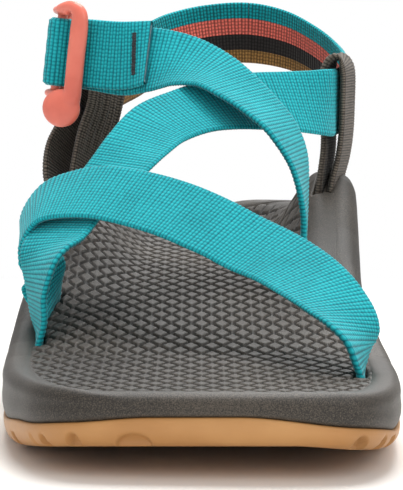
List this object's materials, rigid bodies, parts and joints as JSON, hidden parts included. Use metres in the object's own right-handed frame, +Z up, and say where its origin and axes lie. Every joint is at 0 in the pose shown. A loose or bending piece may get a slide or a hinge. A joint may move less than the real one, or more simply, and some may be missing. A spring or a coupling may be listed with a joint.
{
  "type": "sport sandal",
  "caption": "Open strappy sport sandal for a right foot: moulded contoured footbed, lugged rubber sole, crossed webbing straps, heel strap and ladder-lock buckle.",
  "frame": {"origin": "on the ground under the middle of the sandal's bounding box", "axes": "+X towards the medial (inner) side of the foot, +Y from toe to heel, +Z up"},
  "size_m": [0.0992, 0.2621, 0.1093],
  "materials": {
    "gum_rubber": "matte gum rubber",
    "midsole_pu": "matte moulded foam with a fine grain and a raised diamond pattern on the footbed",
    "teal_webbing": "ribbed woven polyester",
    "heel_webbing": "ribbed woven polyester, striped teal, coral, black and tan on its inner face",
    "dark_webbing": "ribbed woven polyester",
    "coral_plastic": "satin moulded plastic",
    "dark_thread": "dense sewing thread"
  },
  "bodies": {
    "sandal": {"outsole": "gum_rubber", "midsole": "midsole_pu", "forefoot_strap": "teal_webbing", "midfoot_strap": "teal_webbing", "instep_strap": "teal_webbing", "toe_underfoot_run": "teal_webbing", "arch_underfoot_run": "teal_webbing", "medial_riser_loop": "dark_webbing", "lateral_riser": "dark_webbing", "lateral_riser_lining": "dark_webbing", "buckle_keeper": "dark_webbing", "riser_tack_lower": "dark_thread", "riser_tack_upper": "dark_thread"},
    "heel_strap": {"heel_strap": "heel_webbing"},
    "buckle": {"buckle": "coral_plastic"},
    "tail": {"strap_tail": "teal_webbing", "tail_bar_tack": "dark_thread"}
  },
  "joints": [
    {"name": "heel_strap_swing", "type": "hinge", "parent": "sandal", "child": "heel_strap", "pos_m": [0.0113, 0.0927, 0.0856], "axis": [0.976, -0.1964, -0.0938], "range_deg": [-35, 55]},
    {"name": "buckle_tilt", "type": "hinge", "parent": "sandal", "child": "buckle", "pos_m": [-0.04207, 0.05019, 0.09405], "axis": [-0.11, 0, -0.9939], "range_deg": [0, 18]},
    {"name": "tail_lift", "type": "hinge", "parent": "sandal", "child": "tail", "pos_m": [-0.03141, 0.0443, 0.09412], "axis": [-0.11, 0, -0.9939], "range_deg": [0, 70]}
  ]
}
